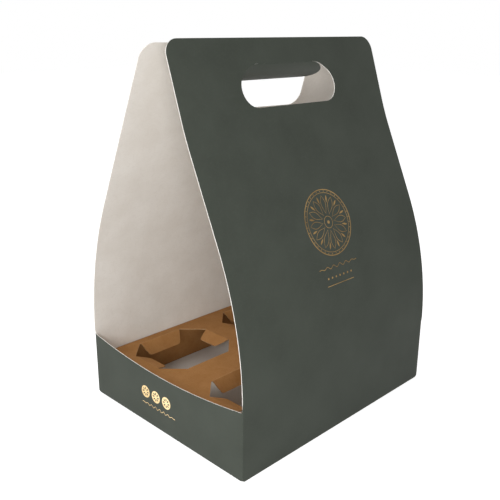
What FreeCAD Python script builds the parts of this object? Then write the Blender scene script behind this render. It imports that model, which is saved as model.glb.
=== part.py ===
import FreeCAD, Part
import math
import os
import Sketcher

# Driving dimensions in millimetres and degrees: name, value, meaning
dimensions = [
    ("base_length", "225", "outside length of the bottom, along X"),
    ("base_width", "180", "outside width of the bottom, along Y"),
    ("board", "0.8", "thickness of the white-backed card"),
    ("fold_round", "0.9", "outside radius of a folded edge"),
    ("end_height", "56", "height of an end panel at its folds"),
    ("end_sag", "8", "depth of the hollow in an end panel's top edge"),
    ("end_corner", "2", "inside radius where an end panel's top meets a tall panel"),
    ("bend_start", "58", "height where a tall panel starts to lean"),
    ("bend_radius", "270", "radius of the soft bend in a tall panel"),
    ("lean_angle", "24.2", "lean of the front panel above its bend"),
    ("lean_run", "62.8", "straight run of the front panel above its bend"),
    ("relax_radius", "250", "radius where the front panel straightens up again"),
    ("top_angle", "18.8", "lean of the front panel at the handle"),
    ("top_run", "53.6", "straight run of the front panel at the handle"),
    ("back_angle", "25.6", "lean of the back panel up to its top edge"),
    ("top_corner", "11.5", "radius of a tall panel's top corners"),
    ("slot_drop", "19", "distance of the front hand slot's top edge from the panel's top edge"),
    ("slot_height", "32", "height of the front hand slot, and length of its flap"),
    ("slot_high_edge", "60", "straight top edge of the front slot, where its flap hinges"),
    ("slot_shoulder", "22", "radius of the front slot's shoulders beside the hinge"),
    ("slot_low_edge", "76", "straight lower edge of the front slot"),
    ("slot_corner", "14", "radius of the front slot's lower corners"),
    ("back_slot_drop", "17", "distance of the back hand slot's top edge from the panel's top edge"),
    ("back_slot_height", "40.4", "height of the back slot"),
    ("back_slot_high_edge", "96", "straight top edge of the back slot"),
    ("back_slot_shoulder", "15", "radius of the back slot's upper corners"),
    ("back_slot_low_edge", "112", "straight lower edge of the back slot"),
    ("back_slot_corner", "10.4", "radius of the back slot's lower corners"),
    ("flap_angle", "48", "how far the handle flap dips below level at its hinge"),
    ("flap_curl", "41", "radius of the curl in the handle flap"),
    ("panel_cut", "6", "thickness that a cut through a leaning panel passes"),
    ("bottom_seam", "0.6", "gap between the two bottom flaps"),
    ("bottom_inset", "1.5", "cut-back of the bottom flaps at the corners"),
    ("lock_tongue", "38", "width of the tongue that locks the bottom"),
    ("lock_reach", "18", "reach of that tongue past the seam"),
    ("lock_taper", "6", "how much that tongue narrows at each side"),
    ("end_flap_gap", "1.2", "gap between that tongue and the inner end flaps"),
    ("end_flap_taper", "46", "how much an end flap narrows at each side"),
    ("glue_width", "16", "width of the glue flap"),
    ("glue_cut", "4", "cut-back of the glue flap's top corner"),
    ("tray_board", "0.8", "thickness of the kraft card"),
    ("tray_height", "36.5", "height of the tray's top face above the ground"),
    ("tray_gap", "0.4", "clearance between the tray and the walls"),
    ("tray_slit", "1.6", "open slit at each corner of the tray"),
    ("hole_length", "80", "cup hole across its end edges, along X"),
    ("hole_width", "66", "cup hole across its side edges, along Y"),
    ("hole_corner", "17", "cut corner of a cup hole"),
    ("hole_pitch_long", "101", "distance of two cup holes' centres along X"),
    ("hole_pitch_cross", "95", "distance of two cup holes' centres along Y"),
    ("tab_length", "13", "length of a tab at a cup hole"),
    ("tab_taper", "4", "how much a tab narrows at each side"),
    ("end_tab_angle", "20", "how far the end tabs are bent down"),
    ("side_tab_angle", "58", "how far the side tabs are bent down"),
    ("tab_relief", "1", "gap from a tab to the corner of its hole edge"),
]

# What follows from them: name and formula
derived = [
    ("front_top_height", "Sizes.bend_start + Sizes.bend_radius * sin(Sizes.lean_angle)"
     " + Sizes.lean_run * cos(Sizes.lean_angle)"
     " + Sizes.relax_radius * (sin(Sizes.lean_angle) - sin(Sizes.top_angle))"
     " + Sizes.top_run * cos(Sizes.top_angle)"),
    ("front_top_inset", "Sizes.bend_radius * (1 - cos(Sizes.lean_angle))"
     " + Sizes.lean_run * sin(Sizes.lean_angle)"
     " + Sizes.relax_radius * (cos(Sizes.top_angle) - cos(Sizes.lean_angle))"
     " + Sizes.top_run * sin(Sizes.top_angle)"),
    ("back_run", "Sizes.lean_run + Sizes.top_run"
     " + Sizes.bend_radius * (Sizes.lean_angle - Sizes.back_angle) * pi / 180"
     " + Sizes.relax_radius * (Sizes.lean_angle - Sizes.top_angle) * pi / 180"),
    ("back_top_height", "Sizes.bend_start + Sizes.bend_radius * sin(Sizes.back_angle)"
     " + Derived.back_run * cos(Sizes.back_angle)"),
    ("back_top_inset", "Sizes.bend_radius * (1 - cos(Sizes.back_angle))"
     " + Derived.back_run * sin(Sizes.back_angle)"),
]

doc = FreeCAD.newDocument("CupCarrier")
sheet = doc.addObject("Spreadsheet::Sheet", "Sizes")
for row, (name, number, meaning) in enumerate(dimensions, start=1):
    sheet.set(f"A{row}", name)
    sheet.set(f"B{row}", number)
    sheet.set(f"C{row}", meaning)
    sheet.setAlias(f"B{row}", name)
doc.recompute()
results = doc.addObject("Spreadsheet::Sheet", "Derived")
for row, (name, formula) in enumerate(derived, start=1):
    results.set(f"A{row}", name)
    results.set(f"B{row}", f"={formula}")
    results.setAlias(f"B{row}", name)
    doc.recompute()


def value(formula):
    """The number that a formula of named sizes stands for."""
    return float(sheet.evalExpression(formula))


def plane_sketch(body, name, role, along=None, turn=None):
    """A sketch on one of the body's own planes, moved off it and turned about its own level axis.

    along holds three formulas for the shift in the plane's own directions, and turn one for the angle.
    """
    sketch = body.newObject("Sketcher::SketchObject", name)
    plane = next(item for item in body.Origin.OriginFeatures if item.Role == role)
    sketch.AttachmentSupport = [(plane, "")]
    sketch.MapMode = "FlatFace"
    if turn is not None:
        axis, formula = turn
        sketch.AttachmentOffset = FreeCAD.Placement(
            FreeCAD.Vector(0, 0, 0), FreeCAD.Rotation(axis, value(formula))
        )
        sketch.setExpression(".AttachmentOffset.Rotation.Angle", formula)
    for letter, formula in zip("xyz", along or ()):
        sketch.setExpression(f".AttachmentOffset.Base.{letter}", formula)
    doc.recompute()
    return sketch


def measure(sketch, kind, references, formula):
    """A measured rule of the sketch that follows its formula. A zero across an axis lies on that axis."""
    number = value(formula)
    if kind in ("DistanceX", "DistanceY") and abs(number) < 1e-9:
        axis = -2 if kind == "DistanceX" else -1
        sketch.addConstraint(Sketcher.Constraint("PointOnObject", references[2], references[3], axis))
        return
    if kind == "Angle":
        number = math.radians(number)
    index = sketch.addConstraint(Sketcher.Constraint(kind, *references, number))
    sketch.setExpression(f"Constraints[{index}]", formula)


def point_at(sketch, edge, end, across, up):
    """Holds one end of an edge at two formulas measured from the sketch's origin."""
    measure(sketch, "DistanceX", (-1, 1, edge, end), across)
    measure(sketch, "DistanceY", (-1, 1, edge, end), up)


def polygon(sketch, corners):
    """A closed outline of straight edges through corners that are pairs of formulas."""
    points = [FreeCAD.Vector(value(across), value(up), 0) for across, up in corners]
    first = sketch.GeometryCount
    for start, end in zip(points, points[1:] + points[:1]):
        sketch.addGeometry(Part.LineSegment(start, end))
    count = len(points)
    for step in range(count):
        following = first + (step + 1) % count
        sketch.addConstraint(Sketcher.Constraint("Coincident", first + step, 2, following, 1))
    for step, (across, up) in enumerate(corners):
        point_at(sketch, first + step, 1, across, up)


def box_outline(sketch, left, right, low, high):
    """A closed rectangle between four formulas."""
    polygon(sketch, [(left, low), (right, low), (right, high), (left, high)])


def rounded_box(sketch, half_across, half_up, radius):
    """A rectangle about the origin with four equal round corners."""
    across = value(half_across)
    up = value(half_up)
    round_off = value(radius)
    first = sketch.GeometryCount
    corners = [(1, 1, 0), (-1, 1, 90), (-1, -1, 180), (1, -1, 270)]
    ends = []
    for side_x, side_y, turn in corners:
        centre = FreeCAD.Vector(side_x * (across - round_off), side_y * (up - round_off), 0)
        circle = Part.Circle(centre, FreeCAD.Vector(0, 0, 1), round_off)
        arc = Part.ArcOfCircle(circle, math.radians(turn), math.radians(turn + 90))
        sketch.addGeometry(arc)
        ends.append((arc.StartPoint, arc.EndPoint))
    for step in range(4):
        sketch.addGeometry(Part.LineSegment(ends[step][1], ends[(step + 1) % 4][0]))
    for step in range(4):
        line = first + 4 + step
        sketch.addConstraint(Sketcher.Constraint("Tangent", first + step, 2, line, 1))
        sketch.addConstraint(Sketcher.Constraint("Tangent", line, 2, first + (step + 1) % 4, 1))
        level = "Horizontal" if step % 2 == 0 else "Vertical"
        sketch.addConstraint(Sketcher.Constraint(level, line))
        if step:
            sketch.addConstraint(Sketcher.Constraint("Equal", first, first + step))
    measure(sketch, "Radius", (first,), radius)
    measure(sketch, "DistanceX", (-1, 1, first, 1), half_across)
    measure(sketch, "DistanceY", (-1, 1, first, 2), half_up)
    measure(sketch, "DistanceX", (-1, 1, first + 2, 1), f"-({half_across})")
    measure(sketch, "DistanceY", (-1, 1, first + 2, 2), f"-({half_up})")


def around_circles(sketch, rounds):
    """A closed outline drawn tight around circles, with straight edges that run from one to the next.

    rounds holds three formulas for each circle, anticlockwise: how far across, how far up, radius.
    """
    circles = [[value(formula) for formula in each] for each in rounds]
    turns = []
    for (left, low, radius), (right, high, next_radius) in zip(circles, circles[1:] + circles[:1]):
        span = math.hypot(right - left, high - low)
        square = math.atan2(high - low, right - left) - math.pi / 2
        turns.append(square + math.asin((radius - next_radius) / span))
    first = sketch.GeometryCount
    arcs = []
    for (across, up, radius), start, end in zip(circles, turns[-1:] + turns[:-1], turns):
        circle = Part.Circle(FreeCAD.Vector(across, up, 0), FreeCAD.Vector(0, 0, 1), radius)
        arcs.append(Part.ArcOfCircle(circle, start, end))
        sketch.addGeometry(arcs[-1])
    count = len(arcs)
    for arc, following in zip(arcs, arcs[1:] + arcs[:1]):
        sketch.addGeometry(Part.LineSegment(arc.EndPoint, following.StartPoint))
    for step in range(count):
        line = first + count + step
        following = first + (step + 1) % count
        sketch.addConstraint(Sketcher.Constraint("Tangent", first + step, 2, line, 1))
        sketch.addConstraint(Sketcher.Constraint("Tangent", line, 2, following, 1))
    for step, (across, up, radius) in enumerate(rounds):
        measure(sketch, "Radius", (first + step,), radius)
        point_at(sketch, first + step, 3, across, up)


def hand_slot(sketch, name, upper, height, downward=True):
    """The outline of a hand slot whose upper edge lies at a formula and whose lower edge is the longer."""
    way = -1 if downward else 1
    low_half = f"Sizes.{name}_low_edge / 2"
    high_half = f"Sizes.{name}_high_edge / 2"
    shoulder_up = f"({upper}) + {way} * Sizes.{name}_shoulder"
    corner_up = f"({upper}) + {way} * (({height}) - Sizes.{name}_corner)"
    corner = (corner_up, f"Sizes.{name}_corner")
    shoulder = (shoulder_up, f"Sizes.{name}_shoulder")
    right = [(low_half, *corner), (high_half, *shoulder)]
    left = [(f"-({high_half})", *shoulder), (f"-({low_half})", *corner)]
    rounds = right + left if downward else right[::-1] + left[::-1]
    around_circles(sketch, rounds)


def pad(body, sketch, length, name, middle=False, reverse=False):
    """Raises a sketch into a solid of the given thickness."""
    feature = body.newObject("PartDesign::Pad", name)
    feature.Profile = sketch
    feature.setExpression("Length", length)
    feature.Midplane = middle
    feature.Reversed = reverse
    doc.recompute()
    return feature


def pocket(body, sketch, length, name, middle=False, reverse=False):
    """Cuts a sketch out of the body and makes sure that something went."""
    before = body.Shape.Volume
    feature = body.newObject("PartDesign::Pocket", name)
    feature.Profile = sketch
    feature.setExpression("Length", length)
    feature.Midplane = middle
    feature.Reversed = reverse
    doc.recompute()
    if not body.Shape.Volume < before - 1e-6:
        raise ValueError(f"{name} cuts nothing")
    return feature


level_axis = FreeCAD.Vector(1, 0, 0)
cross_axis = FreeCAD.Vector(0, 1, 0)


# Folded walls

def ring_walls(body):
    """The four upright walls, up to the folds' top, with round vertical folds."""
    sketch = plane_sketch(body, "wall_ring", "XY_Plane")
    rounded_box(sketch, "Sizes.base_length / 2", "Sizes.base_width / 2", "Sizes.fold_round")
    box_outline(
        sketch,
        "-(Sizes.base_length / 2 - Sizes.board)",
        "Sizes.base_length / 2 - Sizes.board",
        "-(Sizes.base_width / 2 - Sizes.board)",
        "Sizes.base_width / 2 - Sizes.board",
    )
    pad(body, sketch, "Sizes.end_height", "walls")


def end_hollows(body):
    """The hollow top edge of both end panels, which runs round into the tall panels."""
    sketch = plane_sketch(body, "end_hollow", "YZ_Plane")
    half = value("Sizes.base_width / 2 - Sizes.board")
    sag = value("Sizes.end_sag")
    corner = value("Sizes.end_corner")
    top = value("Sizes.end_height")
    # The wide arc passes through the fold's top at both sides and sags in the middle.
    radius = (half * half + sag * sag) / (2 * sag)
    centre = FreeCAD.Vector(0, top - sag + radius, 0)
    drop = math.sqrt((radius - corner) ** 2 - (half - corner) ** 2)
    small = FreeCAD.Vector(half - corner, centre.y - drop, 0)
    lean = math.degrees(math.atan2(small.y - centre.y, small.x))
    wide_arc = Part.ArcOfCircle(
        Part.Circle(centre, FreeCAD.Vector(0, 0, 1), radius),
        math.radians(-180 - lean),
        math.radians(lean),
    )
    right_arc = Part.ArcOfCircle(
        Part.Circle(small, FreeCAD.Vector(0, 0, 1), corner), math.radians(lean), 0
    )
    mirrored = FreeCAD.Vector(-small.x, small.y, 0)
    left_arc = Part.ArcOfCircle(
        Part.Circle(mirrored, FreeCAD.Vector(0, 0, 1), corner), math.pi, math.radians(180 - lean)
    )
    above = FreeCAD.Vector(half, top + sag, 0)
    across = FreeCAD.Vector(-half, top + sag, 0)
    sketch.addGeometry(wide_arc)
    sketch.addGeometry(right_arc)
    sketch.addGeometry(Part.LineSegment(right_arc.EndPoint, above))
    sketch.addGeometry(Part.LineSegment(above, across))
    sketch.addGeometry(Part.LineSegment(across, left_arc.StartPoint))
    sketch.addGeometry(left_arc)
    joints = [(0, 2, 1, 1), (1, 2, 2, 1), (4, 2, 5, 1), (5, 2, 0, 1)]
    for joint in joints:
        sketch.addConstraint(Sketcher.Constraint("Tangent", *joint))
    sketch.addConstraint(Sketcher.Constraint("Coincident", 2, 2, 3, 1))
    sketch.addConstraint(Sketcher.Constraint("Coincident", 3, 2, 4, 1))
    sketch.addConstraint(Sketcher.Constraint("Vertical", 2))
    sketch.addConstraint(Sketcher.Constraint("Vertical", 4))
    sketch.addConstraint(Sketcher.Constraint("PointOnObject", 0, 3, -2))
    inside = "Sizes.base_width / 2 - Sizes.board"
    point_at(sketch, 3, 1, inside, "Sizes.end_height + Sizes.end_sag")
    point_at(sketch, 3, 2, f"-({inside})", "Sizes.end_height + Sizes.end_sag")
    measure(sketch, "Radius", (0,), f"(({inside}) ^ 2 + Sizes.end_sag ^ 2) / (2 * Sizes.end_sag)")
    measure(
        sketch,
        "DistanceY",
        (-1, 1, 0, 3),
        f"Sizes.end_height - Sizes.end_sag + (({inside}) ^ 2 + Sizes.end_sag ^ 2) / (2 * Sizes.end_sag)",
    )
    measure(sketch, "Radius", (1,), "Sizes.end_corner")
    sketch.addConstraint(Sketcher.Constraint("Equal", 1, 5))
    pocket(body, sketch, "2 * Sizes.base_length", "end_hollows", middle=True)


def flat_arc(start, middle, end):
    """The arc through three points of a sketch, run anticlockwise as sketches keep it."""
    centre = Part.Circle(start, middle, end).Center
    left_turn = (middle - start).cross(end - middle).z > 0
    first, last = (start, end) if left_turn else (end, start)
    angles = [math.atan2(point.y - centre.y, point.x - centre.x) for point in (first, last)]
    circle = Part.Circle(centre, FreeCAD.Vector(0, 0, 1), centre.distanceToPoint(start))
    return Part.ArcOfCircle(circle, *angles)


def along_bend(start, side, radius, before, after):
    """Where a bend that starts at a point with one lean comes to with another."""
    turn = math.copysign(radius, after - before)
    inward = math.cos(math.radians(before)) - math.cos(math.radians(after))
    upward = math.sin(math.radians(after)) - math.sin(math.radians(before))
    return start + FreeCAD.Vector(-side * turn * inward, turn * upward, 0)


def tall_panel(body, name, side, segments):
    """A tall panel: a flat strip of card carried up its side and over its soft bends.

    side is -1 for the front and 1 for the back. A segment is a straight run (length, lean) or a
    bend (radius, lean before, lean after), all of them formulas.
    """
    outer = f"{side} * Sizes.base_width / 2"
    inner = f"{side} * (Sizes.base_width / 2 - Sizes.board)"
    low, high = sorted((outer, inner), key=value)
    strip = plane_sketch(body, f"{name}_strip", "XY_Plane", ("0", "0", "Sizes.end_height"))
    box_outline(strip, "-Sizes.base_length / 2", "Sizes.base_length / 2", low, high)
    path = plane_sketch(body, f"{name}_path", "YZ_Plane")
    place = FreeCAD.Vector(value(outer), value("Sizes.end_height"), 0)
    last_end = None
    for index, segment in enumerate(segments):
        numbers = [value(formula) for formula in segment]
        if len(segment) == 2:
            length, lean = numbers[0], math.radians(numbers[1])
            end = place + FreeCAD.Vector(-side * math.sin(lean), math.cos(lean), 0) * length
            path.addGeometry(Part.LineSegment(place, end))
            measure(path, "Distance", (index,), segment[0])
            measure(path, "Angle", (index,), f"90 + {side} * ({segment[1]})")
        else:
            radius, before, after = numbers
            middle = along_bend(place, side, radius, before, (before + after) / 2)
            end = along_bend(place, side, radius, before, after)
            path.addGeometry(flat_arc(place, middle, end))
            measure(path, "Radius", (index,), segment[0])
        edge = path.Geometry[index]
        forward = edge.StartPoint.distanceToPoint(place) < edge.EndPoint.distanceToPoint(place)
        if last_end is not None:
            near_end = 1 if forward else 2
            joint = Sketcher.Constraint("Tangent", index - 1, last_end, index, near_end)
            path.addConstraint(joint)
        last_end = 2 if forward else 1
        place = end
    point_at(path, 0, 1, outer, "Sizes.end_height")
    sweep = body.newObject("PartDesign::AdditivePipe", name)
    sweep.Profile = strip
    sweep.Spine = path
    doc.recompute()


def top_cuts(body, name, side, lean, slot_name):
    """Rounds a tall panel's top corners and cuts its named hand slot, square to the leaning card."""
    edge = f"Sizes.base_width / 2 - Derived.{name}_top_inset"
    along = ("0", f"Derived.{name}_top_height", f"-({side}) * ({edge})")
    turn = (level_axis, f"{side} * ({lean})")
    depth = "Sizes.panel_cut"
    half = "Sizes.base_length / 2"
    corners = plane_sketch(body, f"{name}_corners", "XZ_Plane", along, turn)
    for across in (-1, 1):
        corner_cut(corners, across, half)
    pocket(body, corners, depth, f"{name}_top_corners", middle=True)
    slot = plane_sketch(body, f"{name}_slot_outline", "XZ_Plane", along, turn)
    hand_slot(slot, slot_name, f"-Sizes.{slot_name}_drop", f"Sizes.{slot_name}_height")
    pocket(body, slot, depth, f"{name}_slot", middle=True)


def corner_cut(sketch, across, half):
    """What is cut away outside one round top corner, below the sketch's own level line."""
    radius = value("Sizes.top_corner")
    side = value(half) * across
    spare = value("Sizes.board") * across
    centre = FreeCAD.Vector(side - radius * across, -radius, 0)
    low = FreeCAD.Vector(side, -radius, 0)
    high = FreeCAD.Vector(centre.x, 0, 0)
    diagonal = FreeCAD.Vector(across, 1, 0) * (radius / math.sqrt(2))
    first = sketch.GeometryCount
    sketch.addGeometry(flat_arc(low, centre + diagonal, high))
    outside = [high, FreeCAD.Vector(centre.x, abs(spare), 0), FreeCAD.Vector(side + spare, abs(spare), 0)]
    outside += [FreeCAD.Vector(side + spare, -radius, 0), low]
    for start, end in zip(outside, outside[1:]):
        sketch.addGeometry(Part.LineSegment(start, end))
    arc_low, arc_high = (1, 2) if across > 0 else (2, 1)
    joints = [(first, arc_high, first + 1, 1), (first + 4, 2, first, arc_low)]
    joints += [(first + step, 2, first + step + 1, 1) for step in (1, 2, 3)]
    for joint in joints:
        sketch.addConstraint(Sketcher.Constraint("Coincident", *joint))
    edge = f"{across} * ({half})"
    outer = f"{across} * ({half} + Sizes.board)"
    inner = f"{across} * ({half} - Sizes.top_corner)"
    point_at(sketch, first + 1, 1, inner, "0")
    point_at(sketch, first + 2, 1, inner, "Sizes.board")
    point_at(sketch, first + 3, 1, outer, "Sizes.board")
    point_at(sketch, first + 4, 1, outer, "-Sizes.top_corner")
    point_at(sketch, first + 4, 2, edge, "-Sizes.top_corner")
    measure(sketch, "Radius", (first,), "Sizes.top_corner")


# Folded bottom

def bottom_flaps(body):
    """Two wide flaps with slanted ends below, two end flaps and a locking tongue above them."""
    half_long = "Sizes.base_length / 2 - Sizes.board"
    half_cross = "Sizes.base_width / 2 - Sizes.board"
    for name, side in (("front", -1), ("back", 1)):
        sketch = plane_sketch(body, f"{name}_bottom_outline", "XY_Plane")
        fold = f"{side} * ({half_cross})"
        seam = f"{side} * Sizes.bottom_seam / 2"
        corner = f"({half_long} - Sizes.bottom_inset)"
        slant = f"({half_long} - Sizes.bottom_inset - ({half_cross} - Sizes.bottom_seam / 2))"
        polygon(sketch, [(f"-{corner}", fold), (corner, fold), (slant, seam), (f"-{slant}", seam)])
        pad(body, sketch, "Sizes.board", f"{name}_bottom_flap")
    for name, side in (("left", -1), ("right", 1)):
        sketch = plane_sketch(body, f"{name}_end_outline", "XY_Plane", ("0", "0", "Sizes.board"))
        fold = f"{side} * ({half_long})"
        reach = f"{side} * (Sizes.lock_tongue / 2 + Sizes.end_flap_gap)"
        wide = f"({half_cross} - Sizes.bottom_inset)"
        narrow = f"({half_cross} - Sizes.bottom_inset - Sizes.end_flap_taper)"
        polygon(sketch, [(fold, f"-{wide}"), (fold, wide), (reach, narrow), (reach, f"-{narrow}")])
        pad(body, sketch, "Sizes.board", f"{name}_end_flap")
    tongue = plane_sketch(body, "lock_outline", "XY_Plane", ("0", "0", "Sizes.board"))
    polygon(
        tongue,
        [
            ("-Sizes.lock_tongue / 2", "-Sizes.lock_reach"),
            ("Sizes.lock_tongue / 2", "-Sizes.lock_reach"),
            ("Sizes.lock_tongue / 2 - Sizes.lock_taper", "Sizes.lock_reach"),
            ("-(Sizes.lock_tongue / 2 - Sizes.lock_taper)", "Sizes.lock_reach"),
        ],
    )
    pad(body, tongue, "Sizes.board", "lock_tongue")


def glue_flap(body):
    """The narrow flap glued inside the far end panel, next to the back panel."""
    inside = "Sizes.base_length / 2 - Sizes.board"
    sketch = plane_sketch(body, "glue_outline", "YZ_Plane", ("0", "0", inside))
    fold = "(Sizes.base_width / 2 - Sizes.board)"
    free = f"({fold} - Sizes.glue_width)"
    top = "(Sizes.end_height - Sizes.end_sag)"
    polygon(
        sketch,
        [
            (free, "2 * Sizes.board"),
            (fold, "2 * Sizes.board"),
            (fold, top),
            (f"{free} + Sizes.glue_cut", top),
            (free, f"{top} - Sizes.glue_cut"),
        ],
    )
    pad(body, sketch, "Sizes.board", "glue_flap", reverse=True)


# Handle flap

def handle_flap(body):
    """The flap cut from the front slot: folded in at the slot's straight top edge, and curled."""
    hinge_in = "(Derived.front_top_inset - Sizes.slot_drop * sin(Sizes.top_angle))"
    hinge_y = f"({hinge_in} - Sizes.base_width / 2)"
    hinge_z = "(Derived.front_top_height - Sizes.slot_drop * cos(Sizes.top_angle))"
    sweep = "(Sizes.slot_height / Sizes.flap_curl * 180 / pi)"
    level = f"(Sizes.flap_angle - {sweep})"
    section = plane_sketch(body, "flap_section", "YZ_Plane")
    dip = math.radians(value("Sizes.flap_angle"))
    rise = math.radians(value(level))
    outer = value("Sizes.flap_curl")
    inner = outer - value("Sizes.board")
    hinge = FreeCAD.Vector(value(hinge_y), value(hinge_z), 0)
    centre = hinge + FreeCAD.Vector(math.sin(dip), math.cos(dip), 0) * outer
    arcs = []
    for radius in (outer, inner):
        circle = Part.Circle(centre, FreeCAD.Vector(0, 0, 1), radius)
        arcs.append(Part.ArcOfCircle(circle, -math.pi / 2 - dip, -math.pi / 2 - rise))
    for arc in arcs:
        section.addGeometry(arc)
    section.addGeometry(Part.LineSegment(arcs[0].EndPoint, arcs[1].EndPoint))
    section.addGeometry(Part.LineSegment(arcs[1].StartPoint, arcs[0].StartPoint))
    for joint in ((0, 2, 2, 1), (2, 2, 1, 2), (1, 1, 3, 1), (3, 2, 0, 1), (0, 3, 1, 3)):
        section.addConstraint(Sketcher.Constraint("Coincident", *joint))
    for line in (2, 3):
        section.addConstraint(Sketcher.Constraint("PointOnObject", 0, 3, line))
    measure(section, "Radius", (0,), "Sizes.flap_curl")
    measure(section, "Radius", (1,), "Sizes.flap_curl - Sizes.board")
    point_at(section, 0, 1, hinge_y, hinge_z)
    measure(section, "DistanceX", (-1, 1, 0, 3), f"{hinge_y} + Sizes.flap_curl * sin(Sizes.flap_angle)")
    measure(
        section,
        "DistanceX",
        (-1, 1, 0, 2),
        f"{hinge_y} + Sizes.flap_curl * (sin(Sizes.flap_angle) - sin({level}))",
    )
    length = "(Sizes.slot_low_edge + 2 * Sizes.slot_corner)"
    pad(body, section, length, "flap_strip", middle=True)
    chord = f"(2 * Sizes.flap_curl * sin({sweep} / 2))"
    half = f"({length} / 2 + Sizes.board)"
    outline = plane_sketch(
        body,
        "flap_outline",
        "XY_Plane",
        ("0", hinge_y, hinge_z),
        (level_axis, f"-(Sizes.flap_angle - {sweep} / 2)"),
    )
    box_outline(outline, f"-{half}", half, "-Sizes.flap_curl", f"{chord} + Sizes.flap_curl")
    hand_slot(outline, "slot", "0", chord, downward=False)
    pocket(body, outline, "2 * Sizes.flap_curl", "flap_ends", middle=True)


def carrier():
    """The whole folded sheet."""
    sheet_body = doc.addObject("PartDesign::Body", "folded_walls")
    ring_walls(sheet_body)
    end_hollows(sheet_body)
    bottom_flaps(sheet_body)
    glue_flap(sheet_body)
    lower_run = ("Sizes.bend_start - Sizes.end_height", "0")
    front = [
        lower_run,
        ("Sizes.bend_radius", "0", "Sizes.lean_angle"),
        ("Sizes.lean_run", "Sizes.lean_angle"),
        ("Sizes.relax_radius", "Sizes.lean_angle", "Sizes.top_angle"),
        ("Sizes.top_run", "Sizes.top_angle"),
    ]
    back = [
        lower_run,
        ("Sizes.bend_radius", "0", "Sizes.back_angle"),
        ("Derived.back_run", "Sizes.back_angle"),
    ]
    tall_panel(sheet_body, "front", -1, front)
    tall_panel(sheet_body, "back", 1, back)
    top_cuts(sheet_body, "front", -1, "Sizes.top_angle", "slot")
    top_cuts(sheet_body, "back", 1, "Sizes.back_angle", "back_slot")
    flap_body = doc.addObject("PartDesign::Body", "handle_flap")
    handle_flap(flap_body)
    joined = doc.addObject("Part::Fuse", "carrier_body")
    joined.Base = sheet_body
    joined.Tool = flap_body
    return joined


# Kraft tray

def tab_plane(body, name, direction, angle):
    """A plane through one edge of the first cup hole, bent down into the hole."""
    step_x, step_y = direction
    along = (
        f"-Sizes.hole_pitch_long / 2 - {step_x} * Sizes.hole_length / 2",
        f"-Sizes.hole_pitch_cross / 2 - {step_y} * Sizes.hole_width / 2",
        "Sizes.tray_height",
    )
    axis = cross_axis if step_x else level_axis
    sense = step_x if step_x else -step_y
    return plane_sketch(body, name, "XY_Plane", along, (axis, f"{sense} * {angle}"))


def tray():
    """A kraft platform on folded skirts, with four eight-sided cup holes and bent tabs."""
    body = doc.addObject("PartDesign::Body", "cup_tray")
    stands_on = "2 * Sizes.board"
    half_long = "(Sizes.base_length / 2 - 2 * Sizes.board - Sizes.tray_gap)"
    half_cross = "(Sizes.base_width / 2 - Sizes.board - Sizes.tray_gap)"
    outer = plane_sketch(body, "tray_outline", "XY_Plane", ("0", "0", stands_on))
    box_outline(outer, f"-{half_long}", half_long, f"-{half_cross}", half_cross)
    pad(body, outer, f"Sizes.tray_height - {stands_on}", "tray_block")
    inner = plane_sketch(body, "tray_inside", "XY_Plane", ("0", "0", stands_on))
    inner_long = f"({half_long} - Sizes.tray_board)"
    inner_cross = f"({half_cross} - Sizes.tray_board)"
    box_outline(inner, f"-{inner_long}", inner_long, f"-{inner_cross}", inner_cross)
    depth = f"Sizes.tray_height - {stands_on} - Sizes.tray_board"
    pocket(body, inner, depth, "tray_hollow", reverse=True)
    slits = plane_sketch(body, "tray_slits", "XY_Plane", ("0", "0", stands_on))
    for side_x in (-1, 1):
        for side_y in (-1, 1):
            ends = sorted(
                (f"{side_x} * ({inner_long} - Sizes.tray_slit)", f"{side_x} * {inner_long}"), key=value
            )
            sides = sorted(
                (f"{side_y} * {inner_cross}", f"{side_y} * ({half_cross} + Sizes.tray_gap / 2)"), key=value
            )
            box_outline(slits, ends[0], ends[1], sides[0], sides[1])
    pocket(body, slits, depth, "corner_slits", reverse=True)
    cup_hole(body)
    return body


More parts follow.
